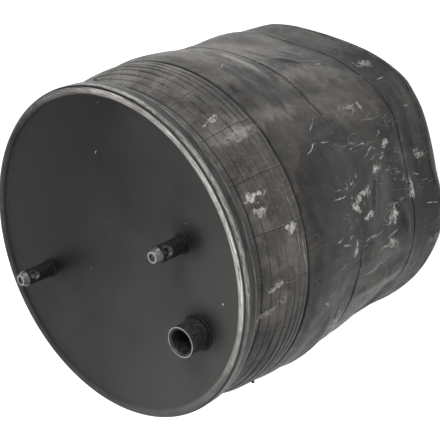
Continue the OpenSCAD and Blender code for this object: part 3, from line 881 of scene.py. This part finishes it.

# %% [markdown]
# ## The sleeve's walls in place
#
# When the plate moves, the lobe rolls along the piston by half as much. Here the two walls are baked
# where they stand, and the CAD sleeve is hidden.

# %% Bake the two walls
ROLL_LENGTH = 0.150
lobe_floor = LOBE_Z * MM
lobe_floor + ROLL_LENGTH
lobe_floor - ROLL_LENGTH
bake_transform(outer_sleeve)
lobe_floor - ROLL_LENGTH
lobe_floor + ROLL_LENGTH
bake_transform(inner_sleeve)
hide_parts("bellows_sleeve")

# %% [markdown]
# ## Painted steel
#
# The bead plate is pressed steel under satin black paint. Handling has polished the raised rim
# through to a pale streaky line, which is also a painted highlight, brightest on one side, and the
# face has small chips. A painted shadow darkens the face round the studs and the port, and the face
# is painted lighter towards one side as a painted reflection. The masks are measured from the axis:
# distance for the rim, and angle for the side where the rim is brightest.

# %% Paint for the bead plate
def object_place(tree):
    """Place in the row frame in millimetres, and the same as a vector in metres."""
    vector = add_node(tree, "ShaderNodeTexCoord", None, None, 3)
    return [part * 1000 for part in split(vector)], vector


STUD_X = (box_mm("stud_right")[0][0] + box_mm("stud_right")[1][0]) / 2
port_low, port_high = box_mm("air_port")
PORT_X = (port_low[0] + port_high[0]) / 2
PORT_Y = (port_low[1] + port_high[1]) / 2
# Painted shadow: the face is darkened round each stud and the port, shifted a little to one side.
SHADOW_SHIFT = (9.0, 2.0)
SHADOW_SPOTS = [(-STUD_X + SHADOW_SHIFT[0], SHADOW_SHIFT[1], 22), (STUD_X + SHADOW_SHIFT[0], SHADOW_SHIFT[1], 22),
               (PORT_X + SHADOW_SHIFT[0], PORT_Y + SHADOW_SHIFT[1], 30)]
RIM_RISE = 2.4
FACE_Z = plate_high[2] - RIM_RISE
plate_paint, tree, shader = new_finish("plate_paint", 0.42, 0.16)
(x, y, z), place = object_place(tree)
radius = diagonal(x, y)
angle = y.math("ARCTAN2", x)
cloudy = noise(place, 9, 3)
speckle = noise(place, 420, 4, 0.65)
# Painted reflection: the face is darker towards one side and lighter towards the other, broken up by cloudy
# noise.
painted_reflection = ramp(x * 0.6 - y * 0.75 + (cloudy - 0.5) * 190, -70, 150)
colour = mix_colour(painted_reflection, grey(0.0025, -0.06), (0.058, 0.062, 0.058, 1))
for centre_x, centre_y, reach in SHADOW_SPOTS:
    aside = diagonal(x - centre_x, y - centre_y)
    painted_shadow = ramp(aside + (cloudy - 0.5) * 14, reach, reach * 0.25) * 0.8
    colour = mix_colour(painted_shadow, colour, grey(0.002))
skirt = ramp(z, FACE_Z - 0.5, FACE_Z - 3.0)
skirt_film = noise(combine(angle * 5, 0.0, z * 0.7), 1.0, 4, 0.6)
SKIRT_DARK = (0.010, 0.012, 0.011, 1)
SKIRT_DUSTY = (0.078, 0.086, 0.079, 1)
colour = mix_colour(skirt, colour, mix_colour(ramp(skirt_film, 0.43, 0.66), SKIRT_DARK, SKIRT_DUSTY))
colour = mix_colour(ramp(speckle, 0.60, 0.72) * 0.12, colour, grey(0.07))
streak = noise(combine(angle * 9, radius * 1.6, z * 1.6), 1.0, 5, 0.65)
fine_streak = noise(combine(angle * 22, radius * 2.4, z * 2.4), 1.0, 6, 0.7)
# The rim's pale line is worn paint and a painted highlight together, brightest round one side of the plate.
BRIGHT_RIM_SIDE = 0.35
bright_rim_side = ramp((angle - BRIGHT_RIM_SIDE).math("COSINE"), -0.1, 0.9)
crown = ramp(z, FACE_Z + 0.2, FACE_Z + 1.9) * ramp(radius, PLATE_R - 1.4, PLATE_R - 2.2)
skirt_edge = hump(z, FACE_Z - 1.8, 4.0) * ramp(radius, PLATE_R - 1.2, PLATE_R - 0.4)
worn = ramp(streak, 0.34, 0.54) * 0.7 + ramp(fine_streak, 0.42, 0.6) * 0.45
rim_tone = ramp(noise(combine(angle * 2.2, 0.0, z * 0.1), 1.0, 4, 0.65), 0.36, 0.60, 0.45, 1.0)
rim_tone = rim_tone * (bright_rim_side * 0.9 + 0.1)
rim_wear_and_highlight = (crown * worn * 0.9 + skirt_edge * worn * ramp(fine_streak, 0.38, 0.52) * 0.85) * rim_tone
crimp_edge = hump(z, FACE_Z - 12.0, 2.0) * ramp(streak, 0.45, 0.6) * 0.35
chips = ramp(noise(place, 95, 6, 0.75), 0.675, 0.70) * ramp(noise(place, 22, 2), 0.5, 0.6)
bare = rim_wear_and_highlight.math("MAXIMUM", crimp_edge).math("MAXIMUM", chips * 0.8)
colour = mix_colour(bare, colour, grey(0.64, 0.05))
set_surface(shader, colour, bare * 0.5, ramp(speckle, 0.3, 0.7, 0.36, 0.52),
            speckle * 0.25 + noise(place, 160, 3) * 0.4 - bare * 0.5, 0.3)

# %% [markdown]
# ## Studs, port and piston
#
# The same black paint covers these, and each has lost it where it is touched most: the studs at the
# tip and round the cross hole, the port at its mouth, and the piston in small chips.

# %% Steel and paint of the studs
STUD_TOP = box_mm("stud_left")[1][2]
HOLE_DROP = 11.0
HOLE_Z = STUD_TOP - HOLE_DROP
stud_steel, tree, shader = new_finish("stud_steel", 0.4, 0.4)
(x, y, z), place = object_place(tree)
speckle = noise(place, 500, 4, 0.65)
from_hole = diagonal(z - HOLE_Z, y)
worn_ring = hump(from_hole, 4.4, 1.5) * ramp(noise(place, 200, 3), 0.35, 0.55)
bare_tip = ramp(z + speckle * 1.4, STUD_TOP - 5.2, STUD_TOP - 4.4)
shank_marks = ramp(noise(combine(x * 0.5, y * 0.5, z * 0.08), 1.0, 5, 0.7), 0.62, 0.7)
bare = bare_tip.math("MAXIMUM", worn_ring).math("MAXIMUM", shank_marks * 0.35)
turned = noise(combine(0.0, 0.0, z * 4), 1.0, 3)
tip_radius = ((abs(x) - STUD_X).math("POWER", 2.0) + y * y).math("SQRT")
# A painted highlight: a paler ring round the edge of the stud's end face.
tip_ring_highlight = ramp(z, STUD_TOP - 0.7, STUD_TOP - 0.2) * hump(tip_radius, 4.1, 1.6)
metal = mix_colour(ramp(speckle, 0.35, 0.65), grey(0.05, 0.04), grey(0.14, 0.02))
metal = mix_colour(tip_ring_highlight, metal, grey(0.26, 0.02))
colour = mix_colour(bare, mix_colour(ramp(speckle, 0.5, 0.7), grey(0.010), grey(0.028)), metal)
set_surface(shader, colour, bare * 0.8, ramp(speckle, 0.3, 0.7, 0.3, 0.5),
            turned * 0.5 + speckle * 0.3, 0.25)

# %% Paint of the air port
port_paint, tree, shader = new_finish("port_paint", 0.4, 0.35)
(x, y, z), place = object_place(tree)
speckle = noise(place, 480, 4, 0.65)
from_centre = diagonal(x - PORT_X, y - PORT_Y)
MOUTH_R = 12.5
mouth = hump(from_centre, MOUTH_R, 0.7) * ramp(z, port_high[2] - 0.6, port_high[2] - 0.1)
edge = mouth * ramp(noise(place, 160, 3), 0.3, 0.5)
marks = ramp(noise(place, 240, 5, 0.7), 0.66, 0.7)
bare = edge.math("MAXIMUM", marks * 0.3)
tube_paint = mix_colour(ramp(speckle, 0.42, 0.66), grey(0.014, 0.05), grey(0.050, 0.06))
colour = mix_colour(bare, tube_paint, grey(0.36, 0.03))
set_surface(shader, colour, bare * 0.6, ramp(speckle, 0.3, 0.7, 0.34, 0.5),
            speckle * 0.4, 0.3)

# %% Paint of the piston
piston_paint, tree, shader = new_finish("piston_paint", 0.45, 0.35)
(x, y, z), place = object_place(tree)
cloudy = noise(place, 12, 4)
speckle = noise(place, 420, 4, 0.65)
colour = mix_colour(ramp(cloudy, 0.35, 0.65), grey(0.016), grey(0.034, 0.03))
dust = ramp(noise(place, 30, 5, 0.6), 0.5, 0.75) * ramp(z, 40, 0)
colour = mix_colour(dust * 0.5, colour, grey(0.12, 0.12))
chips = ramp(noise(place, 110, 6, 0.75), 0.68, 0.70)
colour = mix_colour(chips, colour, grey(0.2, 0.15))
set_surface(shader, colour, chips * 0.4, ramp(speckle, 0.3, 0.7, 0.38, 0.56),
            speckle * 0.3 + noise(place, 120, 3) * 0.4 - chips * 0.4, 0.3)

# %% [markdown]
# ## Plated steel, wire and buffer
#
# Nuts, bolt and washers are zinc plated: a bright, slightly cloudy grey. The bead wire has a thin
# bronze coat, and the buffer is plain black rubber with a matt skin.

# %% Zinc plate
plated_steel, tree, shader = new_finish("plated_steel", 0.35, 0.5)
place = object_place(tree)[1]
cloudy = noise(place, 70, 4, 0.6)
grain = noise(place, 700, 3)
colour = mix_colour(ramp(cloudy, 0.35, 0.65), grey(0.38, 0.05), grey(0.58, 0.0))
stain = ramp(noise(place, 160, 5, 0.7), 0.6, 0.72)
colour = mix_colour(stain * 0.5, colour, (0.16, 0.12, 0.08, 1))
set_surface(shader, colour, 0.85, ramp(cloudy, 0.3, 0.7, 0.3, 0.5), grain * 0.5 + stain * 0.3, 0.2)

# %% Bronze coated bead wire
bead_wire, tree, shader = new_finish("bead_wire", 0.35, 0.5)
(x, y, z), place = object_place(tree)
radius = diagonal(x, y)
strand = (radius * 5.7).math("SINE") * 0.5 + (z * 5.7).math("SINE") * 0.5
colour = mix_colour(ramp(strand, -0.6, 0.6), (0.18, 0.10, 0.04, 1), (0.62, 0.40, 0.18, 1))
feed(shader.inputs["Base Color"], colour)
shader.inputs["Metallic"].default_value = 0.85
add_bump(shader, strand * 0.5, 0.4)

# %% Buffer rubber
buffer_rubber, tree, shader = new_finish("buffer_rubber", 0.62, 0.35)
place = object_place(tree)[1]
mottle = noise(place, 80, 5, 0.6)
grain = noise(place, 800, 2)
colour = mix_colour(ramp(mottle, 0.35, 0.7), grey(0.014), grey(0.036, 0.05))
bloom = ramp(noise(place, 35, 4, 0.6), 0.5, 0.75)
colour = mix_colour(bloom * 0.4, colour, grey(0.09, 0.03))
set_surface(shader, colour, 0.0, ramp(mottle, 0.3, 0.7, 0.5, 0.7), grain * 0.3 + mottle * 0.4, 0.4)

# %% Give every CAD node its finish
FINISHES = {
    "bead_plate": plate_paint, "stud_left": stud_steel, "stud_right": stud_steel, "air_port": port_paint,
    "upper_bead_wire": bead_wire, "lower_bead_wire": bead_wire, "end_closure": piston_paint,
    "bump_stop_plate": plated_steel, "bump_stop": buffer_rubber, "sealing_washer": plated_steel,
    "centre_bolt": plated_steel, "lock_washer": plated_steel, "centre_nut": plated_steel,
    "piston_shell": piston_paint, "piston_column": piston_paint, "piston_foot": piston_paint,
    "foot_nut_1": plated_steel, "foot_nut_2": plated_steel, "foot_nut_3": plated_steel,
    "foot_nut_4": plated_steel}
for node_name, material in FINISHES.items():
    cad_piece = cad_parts[node_name]
    if not cad_piece.material_slots:
        cad_piece.data.materials.append(material)
    for slot in cad_piece.material_slots:
        slot.material = material
print(len(FINISHES), "CAD nodes finished")

# %% [markdown]
# ## Welds
#
# The studs and the port are welded into the plate. A weld is a row of overlapping ripples. The tree
# runs a small round section along a circle, and a wave makes it thicker and thinner as it goes.

# %% Paint on the welds
weld_paint, tree, shader = new_finish("weld_paint", 0.5, 0.12)
place = object_place(tree)[1]
speckle = noise(place, 480, 4, 0.65)
colour = mix_colour(ramp(speckle, 0.45, 0.7), grey(0.003), grey(0.012))
set_surface(shader, colour, 0.0, ramp(speckle, 0.3, 0.7, 0.38, 0.55), speckle * 0.4, 0.3)

# %% Tree for a weld bead round a circle
WELD_SINK = 0.5
weld, size, weld_out = new_geometry_tree("weld_bead", [
    ("Radius", "Float", 0.008), ("Bead", "Float", 0.002), ("Ripples", "Float", 20.0),
    ("Centre", "Vector", (0.0, 0.0, 0.0))])
path = add_node(weld, "GeometryNodeCurvePrimitiveCircle", {"mode": "RADIUS"},
                {"Resolution": 180, "Radius": size["Radius"]})
share = add_node(weld, "GeometryNodeSplineParameter")
wave = abs((share * size["Ripples"] * math.pi).math("SINE"))
lump = noise(add_node(weld, "GeometryNodeInputPosition"), 260, 3)
thickness = size["Bead"] * (0.78 + wave * 0.16 + lump * 0.3)
path = add_node(weld, "GeometryNodeSetCurveRadius", None, {"Curve": path, "Radius": thickness})
section_curve = add_node(weld, "GeometryNodeCurvePrimitiveCircle", {"mode": "RADIUS"},
                         {"Resolution": 12, "Radius": 1.0})
body = add_node(weld, "GeometryNodeCurveToMesh", None,
                {"Curve": path, "Profile Curve": section_curve, "Scale": thickness})
body = add_node(weld, "GeometryNodeSetPosition", None, {"Geometry": body, "Offset": size["Centre"]})
finish_tree(weld, weld_out, body, weld_paint)

# %% Weld each stud and the port
STUD_R = 7.0
PORT_R = 13.0
WELDS = [("stud_weld_left", -STUD_X, 0, STUD_R, 1.4, 17), ("stud_weld_right", STUD_X, 0, STUD_R, 1.4, 17),
         ("port_weld", PORT_X, PORT_Y, PORT_R, 1.8, 29)]
for name, across, along, ring, bead, ripples in WELDS:
    centre = (across * MM, along * MM, (FACE_Z - WELD_SINK) * MM)
    piece = grow(name, bpy.data.meshes.new(name + "_base"), weld,
                 Radius=(ring + bead * 0.35) * MM, Bead=bead * MM, Ripples=float(ripples), Centre=centre)
    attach(piece, "plate")
